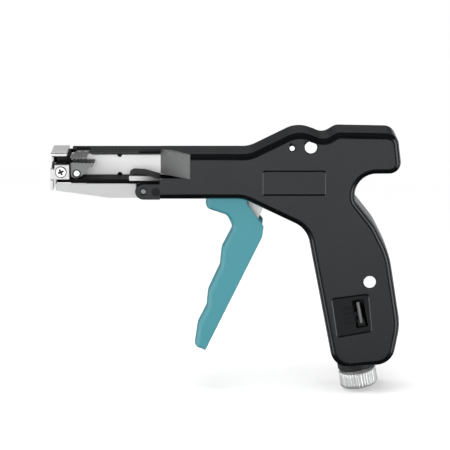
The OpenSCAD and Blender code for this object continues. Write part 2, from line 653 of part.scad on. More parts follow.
// Knife lever
lever_x0 = 2.7;
lever_rise = 3.57;
lever_top = knuckle[1] + lever_rise;
lever_low = lever_top - lever_h;
lever_bend = body_l * 0.1676;
lever_nose = lever_h * 0.478;
rod_pin_small = 2;
tab_in = 0.5;
tongue_l = 1.4;
tongue_w = 2;
tongue_t = 0.8;
tongue_z = lever_top - lever_nose + side_gap;
web_x0 = body_l * 0.094;
flange_in = 0.35;
far_flange_y = nose_y - flange_in;
module knife_lever() {
    color("#c9cbcc") difference() {
        union() {
            slab(lever_y1, lever_y2) {
                polygon([[lever_x0, lever_top], [knuckle[0] + rod_pin_small, lever_top], knuckle,
                    [knuckle[0], lever_low], [lever_bend, lever_low], [lever_x0, lever_top - lever_nose]]);
                disc(knuckle, 2 * (knuckle[1] - lever_low));
                translate([knuckle[0] - rod_pin_small, knuckle[1]])
                    square([2 * rod_pin_small, rod_lift + rod_pin_small * 0.75]);
            }
            // Folded web under the lever, and its far flange
            slab(lever_y1, far_flange_y) polygon([[lever_bend, lever_low], [knuckle[0] - knuckle_r, lever_low],
                [knuckle[0] - knuckle_r, lever_low + lever_t], [lever_bend + lever_t / 6, lever_low + lever_t],
                [web_x0, web_z + lever_t], [web_x0, web_z]]);
            slab(far_flange_y - lever_t, far_flange_y) {
                polygon([[web_x0, web_z], [web_x0, web_z + lever_t], knuckle + [-knuckle_r, 2 * lever_t],
                    knuckle, [knuckle[0], lever_low], [lever_bend, lever_low]]);
                disc(knuckle, 1.5 * knuckle_r);
            }
            // Tab at the front, with the tongue that lifts the blade
            block([lever_x0 + tab_in, lever_y1, tongue_z - flat_gap],
                [lever_x0 + tab_in + lever_t, slot_y1, tongue_z + tongue_t + flat_gap]);
            block([lever_x0 - tongue_l / 2, -2 * tongue_w, tongue_z],
                [lever_x0 + lever_t, -tongue_w, tongue_z + tongue_t]);
        }
        bar(knuckle, knuckle_pin_d + 2 * pin_gap, -body_t, body_t);
        slab(-body_t, lever_y2 + over)
            translate(knuckle + [-rod_pin_small / 2 - pin_gap, rod_lift - rod_pin_small])
                square([rod_pin_small + 2 * pin_gap, 2 * rod_pin_small]);
    }
}
web_z = lever_low + (lever_h - lever_nose) * (lever_bend - web_x0) / (lever_bend - lever_x0);
lever_spring_t = 1.5;
lever_spring_l = 3;
lever_spring_in = 1;
module lever_spring() {
    y = rod_y0 + rod_t + lever_spring_in;
    color("silver")
        sleeve(knuckle, knuckle_pin_d + 2 * lever_spring_t, knuckle_pin_d + 4 * pin_gap, y, y + lever_spring_l);
}
blade_x0 = plate_t + blade_gap;
blade_y1 = -0.6;
blade_top = -strap_gap / 2 - slide_gap;
blade_low = tongue_z - tongue_t;
module blade() {
    color("#d5d7d8") difference() {
        translate([blade_x0, 0, 0]) rotate([90, 0, 90]) linear_extrude(blade_t)
            polygon([[blade_y0, blade_low], [blade_y1, blade_low], [blade_y1, blade_top - strap_gap / 5],
                [blade_y0, blade_top]]);
        block([0, -2 * tongue_w - slide_gap, tongue_z - slide_gap],
            [body_l, -tongue_w + slide_gap, tongue_z + tongue_t + slide_gap]);
    }
}
rod_front = [knuckle[0], knuckle[1] + rod_lift];
rod_bend = [body_l * 0.4118, knuckle[1] + rod_lift];
rod_arm = 6.7;
rod_back = rocker_at - [0, rod_arm];
stud_d = 2.4;
module cutoff_rod() {
    rise = rod_back - rod_bend;
    side = [-rise[1], rise[0]] * (rod_h / 2 / norm(rise));
    color("#55575a") {
        slab(rod_y0, rod_y0 + rod_t) difference() {
            union() {
                disc(rod_front, rod_h * 1.5);
                translate(rod_front - [0, rod_h / 2]) square([rod_bend[0] - rod_front[0], rod_h]);
                disc(rod_bend, rod_h);
                polygon([rod_bend - side, rod_back - side, rod_back + side, rod_bend + side]);
                disc(rod_back, 2 * stud_d);
            }
            disc(rod_back, stud_d + 4 * pin_gap);
        }
        bar(rod_front, rod_pin_small, lever_y1, rod_y0 + rod_t);
    }
}

// Rocker and the tension setting in the handle
rod_pin_d = 2.4;
rocker_in = 5.2;
rocker_out = 7.7;
stop_room = 0.55;
rod_perp_gap = 0.5;
rod_end = 7;
tension_rod_d = 4.4;
spring_wire = 1.2;
plug_d = spring_d - 2 * spring_wire;
plug_l = 4;
spring_s = 27;
nut_s = 18;
nut_w = 12;
module rocker() {
    color("#6a6c6e") difference() {
        union() {
            bar(rocker_at, 2.4 * rocker_pin_d, -rocker_out, rocker_out);
            for (y = [-rocker_out, rocker_in]) slab(y, y + rocker_out - rocker_in) {
                polygon([rocker_at - [rocker_pin_d, 0], rocker_at + [0, rocker_pin_d],
                    [stop_at[0] + stop_pin_d, stop_at[1]], [rod_eye[0] + rod_pin_d, rod_eye[1]],
                    [rod_eye[0], rod_eye[1] - rod_pin_d], [rod_back[0], rod_back[1] - stud_d],
                    [rod_back[0] - rocker_pin_d, rod_back[1]]]);
                disc(rod_eye, 2.4 * rod_pin_d);
            }
            bar(rod_back, stud_d, rod_y0, -rocker_in);
        }
        bar(rocker_at, rocker_pin_d + 2 * pin_gap, -body_t, body_t);
        bar(stop_at, stop_pin_d + 2 * stop_room, -body_t, body_t);
        bar(rod_eye, rod_pin_d + 2 * pin_gap, -body_t, body_t);
    }
}
module rod_pin() { color("silver") bar(rod_eye, rod_pin_d, -rocker_out, rocker_out); }
module tension_rod() {
    color("silver") difference() {
        union() {
            bar(rod_eye, rod_end, -tension_rod_d / 2, tension_rod_d / 2);
            along_axis(spring_s + spring_l) cylinder(d = tension_rod_d, h = rod_eye_s - spring_s - spring_l);
            along_axis(spring_s + spring_l - plug_l) cylinder(d = plug_d, h = plug_l);
        }
        bar(rod_eye, rod_pin_d + 2 * rod_perp_gap, -body_t, body_t);
    }
}
module tension_spring() {
    color("silver") along_axis(spring_s) difference() {
        cylinder(d = spring_d, h = spring_l);
        translate([0, 0, -over]) cylinder(d = plug_d + 2 * pin_gap, h = spring_l + 2 * over);
    }
}
module tension_nut() {
    color("#8d8f90") difference() {
        union() {
            along_axis(nut_s) translate([-nut_w / 2, -nut_w / 2, 0]) cube([nut_w, nut_w, spring_s - nut_s]);
            along_axis(spring_s) cylinder(d = plug_d, h = plug_l);
            axis_slab(-half_t + wall + side_gap, -nut_w / 2)
                translate([gauge_x - gauge_d, gauge_s - gauge_d]) square(2 * gauge_d);
            axis_slab(-nut_w / 2, 0) translate([0, gauge_s - gauge_d]) square([gauge_x + gauge_d, 2 * gauge_d]);
        }
        along_axis(0) cylinder(d = screw_d + 4 * pin_gap, h = grip_drop);
        along_axis(gauge_s) translate([gauge_x, gauge_y, 0]) cylinder(d = gauge_d + 2 * pin_gap, h = gauge_l);
    }
}
gauge_in = 0.9;
gauge_y = -half_t + wall + gauge_in;
module indicator() {
    color("silver") along_axis(gauge_s) translate([gauge_x, gauge_y, 0]) cylinder(d = gauge_d, h = gauge_l);
}
screw_top = 34;
washer_t = 0.6;
knob_top = collar_h + washer_t + 2 * flat_gap;
knob_cap = 1.5;
module handle_collar() {
    color("#1d1e20") along_axis(-collar_h) difference() {
        union() {
            cylinder(d = collar_d - 2 * collar_step, h = collar_h);
            translate([0, 0, washer_t]) cylinder(d = collar_d, h = collar_h + collar_up - washer_t);
        }
        translate([0, 0, -over]) cylinder(d = screw_d + 2 * pin_gap, h = collar_h + collar_up + 2 * over);
    }
}
module thrust_washer() {
    color("silver") along_axis(-collar_h - washer_t) difference() {
        cylinder(d = knob_d * 0.8, h = washer_t);
        translate([0, 0, -over]) cylinder(d = screw_d + 4 * pin_gap, h = washer_t + 2 * over);
    }
}
module setting_screw() {
    color("silver") along_axis(-knob_top - knob_h + knob_cap)
        cylinder(d = screw_d, h = screw_top + knob_top + knob_h - knob_cap);
}
module knob() {
    flute = knob_d * 0.02;
    color("silver") along_axis(-knob_top - knob_h) difference() {
        linear_extrude(knob_h) polygon([for (i = [0:2 * knob_teeth - 1])
            (knob_d / 2 - (i % 2) * flute) * [cos(180 * i / knob_teeth), sin(180 * i / knob_teeth)]]);
        translate([0, 0, knob_cap]) cylinder(d = screw_d + 2 * pin_gap, h = knob_h);
        translate([0, 0, knob_h * 0.6]) rotate([0, 90, 0]) cylinder(d = set_screw_d + 2 * pin_gap, h = knob_d);
    }
}
set_screw_d = 2.6;
set_screw_sink = 0.6;
module knob_set_screw() {
    color("#2c2e30") along_axis(-knob_top - knob_h) translate([screw_d / 2 + pin_gap, 0, knob_h * 0.6])
        rotate([0, 90, 0]) cylinder(d = set_screw_d, h = (knob_d - screw_d) / 2 - set_screw_sink);
}

housing_near();
housing_far();
housing_screws();
knuckle_pin();
front_screw();
nose_cap();
face_plate();
nose_screw();
nose_insert();
slide_guide();
guide_finger();
tail_ramp();
trigger_pin();
rocker_pin();
stop_pin();
handle_pin();
handle_collar();
thrust_washer();
trigger();
link_pin();
drive_link();
slider();
slide_pin();
anvil();
anvil_rivets();
pawl_pin();
pawl_spring();
return_spring();
pawl();
knife_lever();
lever_spring();
blade();
cutoff_rod();
rocker();
rod_pin();
tension_rod();
tension_spring();
tension_nut();
indicator();
setting_screw();
knob();
knob_set_screw();
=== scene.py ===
import math
import bpy
import bmesh
import numpy as np
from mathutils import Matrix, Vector
from mathutils.geometry import delaunay_2d_cdt


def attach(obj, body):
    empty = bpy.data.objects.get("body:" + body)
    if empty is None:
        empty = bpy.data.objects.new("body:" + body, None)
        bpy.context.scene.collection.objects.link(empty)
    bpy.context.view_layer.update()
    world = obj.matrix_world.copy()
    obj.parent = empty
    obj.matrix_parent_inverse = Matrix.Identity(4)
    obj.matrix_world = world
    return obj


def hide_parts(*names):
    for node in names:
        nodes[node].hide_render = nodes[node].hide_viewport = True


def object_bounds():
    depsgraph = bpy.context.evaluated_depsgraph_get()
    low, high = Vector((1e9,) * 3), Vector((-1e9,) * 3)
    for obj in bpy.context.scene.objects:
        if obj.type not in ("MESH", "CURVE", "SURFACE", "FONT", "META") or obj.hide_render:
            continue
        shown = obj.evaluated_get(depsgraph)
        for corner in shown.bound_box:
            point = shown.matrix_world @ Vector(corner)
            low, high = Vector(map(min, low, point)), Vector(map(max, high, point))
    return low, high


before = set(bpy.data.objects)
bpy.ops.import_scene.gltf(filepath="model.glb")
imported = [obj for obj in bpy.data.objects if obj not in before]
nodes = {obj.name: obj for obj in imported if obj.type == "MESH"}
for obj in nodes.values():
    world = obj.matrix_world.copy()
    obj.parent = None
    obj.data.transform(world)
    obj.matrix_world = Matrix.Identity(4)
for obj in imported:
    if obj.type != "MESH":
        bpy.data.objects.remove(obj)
cad_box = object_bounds()

# The tool as it was photographed: square on to its near side, from a little above, against white.
# The camera looks down by 14 degrees from under a metre, so that the tops of the barrel and head show.
down = math.radians(14.0)
aim = Vector((0.08466, -0.0125, -0.0312))
reach = 0.925
mm_per_pixel, photo_pixels, sensor = 0.4857, 450, 36.0
lens_data = bpy.data.cameras.new("studio_camera")
lens_data.sensor_width = sensor
lens_data.lens = sensor * reach * 1000 / mm_per_pixel / photo_pixels
lens_data.clip_start = 0.05
camera = bpy.data.objects.new("studio_camera", lens_data)
camera.location = aim + Vector((0.0, -math.cos(down), math.sin(down))) * reach
camera.rotation_euler = (math.pi / 2 - down, 0.0, 0.0)
bpy.context.scene.collection.objects.link(camera)
bpy.context.scene.camera = camera
bpy.context.scene.view_settings.view_transform = "Standard"


def soft_light(name, place, target, size, power, size_y=None):
    """A soft box at a place, turned so that its face looks at a target. The gloss shows the studio that the
    world paints, so the box itself isn't mirrored."""
    data = bpy.data.lights.new(name, "AREA")
    data.shape = "RECTANGLE"
    data.size = size
    data.size_y = size_y or size
    data.energy = power
    lamp = bpy.data.objects.new(name, data)
    lamp.location = place
    lamp.visible_glossy = False
    lamp.rotation_euler = (Vector(target) - Vector(place)).to_track_quat("-Z", "Y").to_euler()
    bpy.context.scene.collection.objects.link(lamp)


middle = (0.09, 0.0, -0.03)
soft_light("top_box", (0.06, -0.08, 0.60), middle, 0.6, 3.0, size_y=0.5)
soft_light("front_box", (-0.05, -0.85, 0.12), middle, 0.6, 3.35)
soft_light("left_box", (-0.62, -0.35, 0.05), middle, 0.4, 2.2)


# The housing is two hollow die-cast halves, sprayed with a satin black powder coat that leaves a faint orange
# peel. They meet at mid-depth and are screwed together from the far side.


class Value:
    """An output in a material's node tree. Sums and products written with it add Math nodes."""

    def __init__(self, tree, socket):
        self.tree, self.socket = tree, socket

    def node(self, kind, settings, values, output=0):
        """Adds any node: its settings come first, then the value or link of each socket."""
        made = self.tree.nodes.new(kind)
        for key, setting in settings.items():
            setattr(made, key, setting)
        for key, value in values.items():
            if isinstance(value, Value):
                self.tree.links.new(value.socket, made.inputs[key])
            else:
                made.inputs[key].default_value = value
        return Value(self.tree, made.outputs[output])

    def math(self, operation, a, b=0.0):
        """A Math node on two values or numbers, of which some operations read only the first."""
        return self.node("ShaderNodeMath", {"operation": operation}, {0: a, 1: b})

    def __add__(self, other): return self.math("ADD", self, other)
    def __radd__(self, other): return self.math("ADD", other, self)
    def __sub__(self, other): return self.math("SUBTRACT", self, other)
    def __rsub__(self, other): return self.math("SUBTRACT", other, self)
    def __mul__(self, other): return self.math("MULTIPLY", self, other)
    def __rmul__(self, other): return self.math("MULTIPLY", other, self)
    def __truediv__(self, other): return self.math("DIVIDE", self, other)
    def __rtruediv__(self, other): return self.math("DIVIDE", other, self)


def finish_of(name, **constants):
    """A new material: its object coordinates, and its shader with the constant values set."""
    material = bpy.data.materials.new(name)
    material.use_nodes = True
    tree = material.node_tree
    shader = tree.nodes["Principled BSDF"]
    for key, value in constants.items():
        shader.inputs[key.replace("_", " ").title().replace("Ior", "IOR")].default_value = value
    where = Value(tree, tree.nodes.new("ShaderNodeTexCoord").outputs["Object"])
    return material, where, shader


def feed(shader, **links):
    """Links what varies over the surface to the shader's sockets."""
    for key, value in links.items():
        value.tree.links.new(value.socket, shader.inputs[key.replace("_", " ").title()])


def cloud(where, size, detail=2.0):
    """Soft patches of about one size, in metres."""
    return where.node("ShaderNodeTexNoise", {}, {"Vector": where, "Scale": 1.0 / size, "Detail": detail})


def mix_colour(where, share, low, high):
    """The colour low where share is 0, high where it is 1, and between them in proportion."""
    low, high = (end if isinstance(end, Value) else (*end, 1.0) for end in (low, high))
    return where.node("ShaderNodeMix", {"data_type": "RGBA"}, {0: share, 6: low, 7: high}, 2)


black_paint, where, shader = finish_of("black_paint", coat_weight=0.25, coat_roughness=0.10,
                                       specular_ior_level=0.5)
peel = cloud(where, 0.0011, 3.0)
patches = cloud(where, 0.02)
feed(shader,
     base_color=mix_colour(where, patches, (0.0020, 0.0027, 0.0033), (0.0034, 0.0042, 0.0050)),
     roughness=patches * 0.06 + peel * 0.05 + 0.20,
     normal=where.node("ShaderNodeBump", {}, {"Strength": 0.12, "Distance": 0.00004, "Height": peel}))

mm = 0.001
body_l, half_t, housing_wall, housing_edge = 170.0, 12.5, 2.2, 3.0
rail_z, barrel_low, head_rise = 3.5, -18.7, 14.0
grip_depth, grip_drop, lean = 36.0, 104.9, math.radians(10.8)
window_end, scoop_z, scoop_end = 53.1, -8.5, 67.95
slot_front, slot_back, slot_y = 73.6, 111.45, 8.3
foot = np.array([150.01, -104.3])


def on_handle(x, s):
    """A point given across and along the handle's leaning axis, in the side view."""
    across, along = np.array([math.cos(lean), math.sin(lean)]), np.array([-math.sin(lean), math.cos(lean)])
    return foot + x * across + s * along


# Corners of the side view, clockwise as the photo shows it, each with its radius. Those of the head are
# shares of the length and the rise. Those of the handle lie across and along its axis, as shares of its depth
# and its drop.
head_shares = [[0.707, 1.09, 1.0], [0.78, 0.745, 0.43], [0.816, 1.014, 0.43], [0.987, 0.975, 0.42],
               [1.0024, -0.443, 0.393]]
grip_shares = [[0.436, 0.9215, 0.286], [0.379, 0.799, 0.167], [0.584, 0.6635, 0.694],
               [0.71, 0.5145, 1.11], [0.686, 0.1666, 0.833], [0.484, -0.0152, 0.264],
               [-0.316, 0.011, 0.264], [-0.3256, 0.7065, 0.361]]
housing_corners = np.array(
    [[9.9, rail_z, 0.0], [96.5, rail_z, head_rise]]
    + [[x * body_l, z * head_rise, r * head_rise] for x, z, r in head_shares]
    + [[*on_handle(x * grip_depth, s * grip_drop), r * grip_depth] for x, s, r in grip_shares]
    + [[93.5, barrel_low, head_rise], [9.9, barrel_low, 0.0]])


def unit(v):
    """Vectors of length 1 the way v points."""
    return v / np.linalg.norm(v, axis=-1, keepdims=True)


def rounded_path(corners, inset=0.0, steps=12):
    """Points round an outline. A corner is the arc of its radius whose centre lies on the corner's bisector,
    and an inset moves both sides inward, which shortens the radius outside a bend and lengthens it inside."""
    b = corners[:, :2]
    u, w = unit(np.roll(b, 1, 0) - b), unit(np.roll(b, -1, 0) - b)
    half = (np.arccos(np.clip((u * w).sum(1), -1, 1)) / 2)[:, None]
    way = np.where(u[:, 0] * w[:, 1] - u[:, 1] * w[:, 0] > 0, 1.0, -1.0)[:, None]
    mid = unit(u + w)
    r = np.maximum(corners[:, 2:] - way * inset, 0.02)
    p = b + mid * (way * inset / np.sin(half))
    centre = p + mid * (r / np.sin(half))
    start, end = unit(p + u * r / np.tan(half) - centre), unit(p + w * r / np.tan(half) - centre)
    t = np.linspace(0, 1, steps + 1)[None, :, None]
    arc = unit(start[:, None] * (1 - t) + end[:, None] * t)
    return (centre[:, None] + arc * r[:, None]).reshape(-1, 2)


def inside(points, loop):
    """Whether each point is in a loop. It is where a line from it to +X crosses the loop an odd number of
    times."""
    a, b = loop, np.roll(loop, -1, 0)
    y = points[:, 1:2]
    across = (a[:, 1] > y) != (b[:, 1] > y)
    x = a[:, 0] + (y - a[:, 1]) / np.where(across, b[:, 1] - a[:, 1], 1.0) * (b[:, 0] - a[:, 0])
    return (across & (points[:, :1] < x)).sum(1) % 2 == 1


def filled(outer, holes, depth):
    """A flat sheet at one depth: the triangles between an outline and its holes."""
    loops = [outer, *holes]
    ends = np.cumsum([len(loop) for loop in loops])
    rounds = [np.arange(end - len(loop), end) for end, loop in zip(ends, loops)]
    edges = np.concatenate([np.column_stack([ring, np.roll(ring, -1)]) for ring in rounds])
    corners = list(map(Vector, np.vstack(loops)))
    points, _, triangles = delaunay_2d_cdt(corners, edges.tolist(), [], 0, 1e-5)[:3]
    points, triangles = np.array(points), np.array([t for t in triangles if len(t) == 3])
    middle = points[triangles].mean(1)
    keep = inside(middle, outer)
    for hole in holes:
        keep &= ~inside(middle, hole)
    return np.column_stack([points[:, 0], np.full(len(points), depth), points[:, 1]]), triangles[keep]


def strip(rows, closed=True):
    """A sheet through rows of points, each row joined to the next one by quads."""
    rows = np.asarray(rows)
    count, n = rows.shape[:2]
    i, k = np.meshgrid(np.arange(count - 1), np.arange(n if closed else n - 1), indexing="ij")
    after = (k + 1) % n
    faces = np.stack([i * n + k, i * n + after, (i + 1) * n + after, (i + 1) * n + k], -1).reshape(-1, 4)
    return rows.reshape(-1, 3), faces


def lifted(loop, depth):
    """A loop of the side view laid at one depth."""
    return np.column_stack([loop[:, 0], np.full(len(loop), depth), loop[:, 1]])


def circle(at, radius, count=48):
    """A round loop: its centre plus the radius times the cosine and the sine of a full turn."""
    a = np.linspace(0, 2 * np.pi, count, endpoint=False)
    return np.array(at) + radius * np.column_stack([np.cos(a), np.sin(a)])


def sunk(loop_at, low, high, width=0.9):
    """The sloped wall of a shallow field, from depth low at its rim to depth high at its floor. It follows an
    S, three t squared less two t cubed, over its width; loop_at gives the rim moved inward by an inset."""
    t = np.linspace(0, 1, 7)
    depth = low + (high - low) * (3 * t ** 2 - 2 * t ** 3)
    return strip([lifted(loop_at(width * k), y) for k, y in zip(t, depth)]), loop_at(width)


def shell(name, sheets, material, outward, thickness=0.0, sharp=38.0):
    """One mesh from several sheets, with doubled points merged and the faces turned so that most of the area
    looks the way outward says. Where it has a thickness it gets a wall on the inside."""
    counts = np.cumsum([0] + [len(points) for points, _ in sheets])
    points = np.vstack([p for p, _ in sheets]) * mm
    faces = [face for start, (_, f) in zip(counts, sheets) for face in (f + start).tolist()]
    mesh = bpy.data.meshes.new(name)
    mesh.from_pydata(points.tolist(), [], faces)
    shaped = bmesh.new()
    shaped.from_mesh(mesh)
    bmesh.ops.remove_doubles(shaped, verts=shaped.verts, dist=3e-6)
    bmesh.ops.dissolve_degenerate(shaped, edges=shaped.edges, dist=1e-6)
    bmesh.ops.recalc_face_normals(shaped, faces=shaped.faces)
    shaped.to_mesh(mesh)
    shaped.free()
    normals, areas = np.zeros(len(mesh.polygons) * 3), np.zeros(len(mesh.polygons))
    mesh.polygons.foreach_get("normal", normals)
    mesh.polygons.foreach_get("area", areas)
    if outward is not None and ((normals.reshape(-1, 3) @ np.array(outward)) ** 3 * areas).sum() < 0:
        mesh.flip_normals()
    mesh.materials.append(material)
    piece = bpy.data.objects.new(name, mesh)
    bpy.context.scene.collection.objects.link(piece)
    if thickness:
        wall = piece.modifiers.new("wall", "SOLIDIFY")
        wall.thickness = thickness * mm
        wall.offset = -1.0
        wall.use_even_offset = False
        made = bpy.data.meshes.new_from_object(piece.evaluated_get(bpy.context.evaluated_depsgraph_get()))
        piece.modifiers.clear()
        piece.data = made
    piece.data.polygons.foreach_set("use_smooth", np.ones(len(piece.data.polygons), bool))
    piece.data.set_sharp_from_angle(angle=math.radians(sharp))
    weighted = piece.modifiers.new("flat_faces_first", "WEIGHTED_NORMAL")
    weighted.keep_sharp = True
    return piece


# The handle's front meets the barrel's underside at this corner of the outline. The scoop in the near half's
# front starts at its mouth on the seam and slants back until it has gone its depth.
path_corner = 15
scoop_mouth, scoop_depth = 58.2, 11.2


def housing_path(inset):
    """The outline moved inward, with a point added where the trigger's slot starts and ends."""
    path = rounded_path(housing_corners, inset)
    per = len(path) // len(housing_corners)
    under_start, front = path_corner * per, (path_corner + 1) * per
    grip_end, under_end = under_start - 1, front - 1

    def crossing(i, k, x):
        """The point at x on the line from one point of the outline to another."""
        return path[i] + (path[k] - path[i]) * (x - path[i, 0]) / (path[k, 0] - path[i, 0])

    return np.vstack([path[:under_start], crossing(grip_end, under_start, slot_back), path[under_start:front],
                      crossing(under_end, front, slot_front), path[front:]]), under_start, front + 1


def housing_half(side):
    """The wall and rolled edge of one half, from the seam at mid-depth to the flat side, and the side's
    outline. Over the rolled edge the inset is its width times one less a cosine, and the depth follows the
    sine. The rows from the seam to the slot's width are left open where the trigger's slot lies."""
    a = np.linspace(0, np.pi / 2, 11)
    seam = [(0.1, 0.0), (0.02, 0.03), (0.0, 0.1), (0.0, slot_y)]
    section = seam + list(zip(housing_edge * (1 - np.cos(a)),
                              half_t - housing_edge + housing_edge * np.sin(a)))
    rows = []
    for inset, y in section:
        path, slot_start, slot_end = housing_path(inset)
        slant = min(scoop_mouth + y * (scoop_end - scoop_mouth) / scoop_depth, scoop_end)
        front = np.where((path[:, 1] > scoop_z) & (side < 0), slant, window_end)
        rows.append(lifted(np.column_stack([np.maximum(path[:, 0], front), path[:, 1]]), side * y))
    points, faces = strip(rows, closed=False)
    n = len(rows[0])
    row, column = np.arange(len(faces)) // (n - 1), np.arange(len(faces)) % (n - 1)
    open_slot = (row < len(seam) - 1) & (column >= slot_start) & (column < slot_end)
    return (points, faces[~open_slot]), rows[-1][:, [0, 2]]


# Three pins of the works show in both sides, at these places and in these bores, whose edges are broken.
pins = [((116.99, 6.7), 1.35), ((125.99, 7.2), 3.05), (on_handle(13.7, 42.48), 3.15)]
pin_rim, rim_drop = 0.3, 0.5
pin_holes = [circle(at, radius + pin_rim) for at, radius in pins]


def rims(side):
    """The broken edges of the pins' bores, each one falling inward from the flat side by the rim's width."""
    return [sunk(lambda inset: circle(at, radius + pin_rim - inset),
                 side * half_t, side * (half_t - rim_drop), pin_rim)[0] for at, radius in pins]


# The near half carries a shallow field for a label, which is left bare, and the sunk field of the tension
# gauge. Both fields have soft sloped walls, as a casting's draft and its paint give them.
label = np.array([[102.6, -4.1, 1.5], [133.7, -4.1, 1.5], [133.7, -16.8, 1.5], [102.6, -16.8, 1.5]])
plaque = np.array([[*on_handle(x, s), r] for x, s, r in
                   ((-6.6, 38.0, 2.0), (12.5, 36.9, 2.0), (10.9, 17.0, 2.0), (-7.4, 17.1, 2.0))])
field_depth = 0.4
floor_y = -half_t + field_depth
wall_sheet, side_line = housing_half(-1)
side_line = np.vstack([side_line, [[window_end, scoop_z], [scoop_end, scoop_z]]])
label_wall, label_floor = sunk(lambda inset: rounded_path(label, inset), -half_t, floor_y)
plaque_wall, plaque_floor = sunk(lambda inset: rounded_path(plaque, inset), -half_t, floor_y)
near_half = shell("near_half", [
    wall_sheet, filled(side_line, [rounded_path(label), rounded_path(plaque), *pin_holes], -half_t),
    label_wall, filled(label_floor, [], floor_y), plaque_wall, *rims(-1)],
    black_paint, (0, -1, 0), thickness=housing_wall)
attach(near_half, "housing")
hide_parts("housing_near")

# The gauge is the floor of that field, with a slot for the pointer and four raised ticks beside it. Its paint
# is finer, duller and greyer than the rest, as it is where hands rub it.
etched, where, shader = finish_of("etched_black", specular_ior_level=0.35)
grit = cloud(where, 0.0005, 3.0)
feed(shader,
     base_color=mix_colour(where, grit, (0.0060, 0.0070, 0.0076), (0.0120, 0.0132, 0.0140)),
     roughness=grit * 0.2 + 0.45,
     normal=where.node("ShaderNodeBump", {}, {"Strength": 0.4, "Distance": 0.00008, "Height": grit}))
gauge = np.array([[*on_handle(x, s), r] for x, s, r in
                  ((3.3, 34.7, 0.5), (9.1, 34.7, 0.5), (9.1, 20.1, 0.5), (3.3, 20.1, 0.5))])
tick_start, tick_end, tick_thick, tick_round = -2.0, 3.0, 0.6, 0.14
first_tick, tick_step, tick_count = 23.25, 2.5, 4


def tick(s):
    """A raised tick of the gauge's scale: its wall, its top edge rounded off, and its top."""
    corners = np.array([[*on_handle(x, t), 0.15] for x, t in (
        (tick_start, s + tick_thick), (tick_end, s + tick_thick), (tick_end, s), (tick_start, s))])
    rows = [(0.0, field_depth), (0.0, 0.1), (0.06, 0.02), (tick_round, 0.0)]
    return [strip([lifted(rounded_path(corners, inset, 4), -half_t + y) for inset, y in rows]),
            filled(rounded_path(corners, tick_round, 4), [], -half_t)]


plate = shell("gauge_plate", [filled(plaque_floor, [rounded_path(gauge)], floor_y)], etched, (0, -1, 0),
              thickness=housing_wall - field_depth)
ticks = shell("gauge_ticks", [sheet for i in range(tick_count) for sheet in tick(first_tick + tick_step * i)],
              etched, (0, -1, 0))
for piece in (plate, ticks):
    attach(piece, "housing")
    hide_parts("housing_near")

# The far half is the near one mirrored, in the same paint. Its side is plain, with the ends of the pins and
# the sunk bores of the four screws.
wall_sheet, side_line = housing_half(1)
screw_places = [(70.8, -15.3), (158.61, -1.96), on_handle(-12.46, 84.12), on_handle(12.96, 15.49)]
screw_bore = 2.75
far_half = shell("far_half", [
    wall_sheet, filled(side_line, [*pin_holes, *(circle(at, screw_bore) for at in screw_places)], half_t),
    *rims(1)], black_paint, (0, 1, 0), thickness=housing_wall)
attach(far_half, "housing")
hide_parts("housing_far")

# In front of the scoop both castings go on as the nose: the far one as the channel that the strap and the
# slider run in, the near one as the arm for the knife lever's pin. They keep the CAD's shape, edges broken.
# The channel's faces get a rougher black, and its darker colour is painted shade of the recess.
channel_shade_black, where, shader = finish_of("channel_shade_black", specular_ior_level=0.25)
grit = cloud(where, 0.0008, 3.0)
feed(shader,
     base_color=mix_colour(where, grit, (0.0016, 0.0017, 0.0018), (0.0036, 0.0038, 0.0040)),
     roughness=grit * 0.2 + 0.55)
roof_drop, side_skin, far_skin = 1.25, 0.3, 2.3


def joined(node, materials, end=None):
    """A copy of a CAD node's mesh, its doubled points merged and its flat facets joined. Where an end is
    given, only what lies in front of a plane across X there is kept."""
    mesh = nodes[node].data.copy()
    shaped = bmesh.new()
    shaped.from_mesh(mesh)
    bmesh.ops.remove_doubles(shaped, verts=shaped.verts, dist=2e-6)
    if end is not None:
        bmesh.ops.bisect_plane(shaped, geom=shaped.verts[:] + shaped.edges[:] + shaped.faces[:],
                               plane_co=(end * mm, 0, 0), plane_no=(1, 0, 0), clear_outer=True)
    bmesh.ops.dissolve_limit(shaped, angle_limit=math.radians(0.6), verts=shaped.verts, edges=shaped.edges)
    shaped.to_mesh(mesh)
    shaped.free()
    mesh.materials.clear()
    for material in materials:
        mesh.materials.append(material)
    mesh.polygons.foreach_set("use_smooth", np.ones(len(mesh.polygons), bool))
    return mesh


def front_of(node, name):
    """The part of a CAD node in front of the window's end, with its edges broken. The faces in the channel,
    which are those below its roof and between its outer sides, carry a rougher black whose darker colour is
    painted shade of the recess."""
    mesh = joined(node, (black_paint, channel_shade_black), window_end)
    middles = np.zeros(len(mesh.polygons) * 3)
    mesh.polygons.foreach_get("center", middles)
    _, y, z = middles.reshape(-1, 3).T / mm
    recessed = (z < rail_z - roof_drop) & (y > -half_t + side_skin) & (y < half_t - far_skin)
    mesh.polygons.foreach_set("material_index", recessed.astype(np.int32))
    mesh.set_sharp_from_angle(angle=math.radians(32))
    piece = bpy.data.objects.new(name, mesh)
    bpy.context.scene.collection.objects.link(piece)
    bevel = piece.modifiers.new("broken_edges", "BEVEL")
    bevel.width, bevel.segments = 0.0005, 3
    bevel.limit_method, bevel.angle_limit = "ANGLE", math.radians(40)
    bevel.harden_normals = True
    return piece


for node, name in (("housing_near", "near_knuckle"), ("housing_far", "nose_channel")):
    piece = front_of(node, name)
    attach(piece, "housing")
    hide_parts(node)

# Four screws close the housing from the far side, and a small one sits beside the knife lever's pin. They are
# blackened steel, as are the knob's set screw and the flat rod that runs from the rocker to the knife lever.


def streaks(where, along):
    """Fine lines as brushing or rolling leaves them: a cloud of 0.4 mm drawn out along one axis."""
    scale = [0.03 if axis == along else 1.0 for axis in "XYZ"]
    stretched = where.node("ShaderNodeVectorMath", {"operation": "MULTIPLY"}, {0: where, 1: scale})
    return cloud(stretched, 0.0004, 3.0)


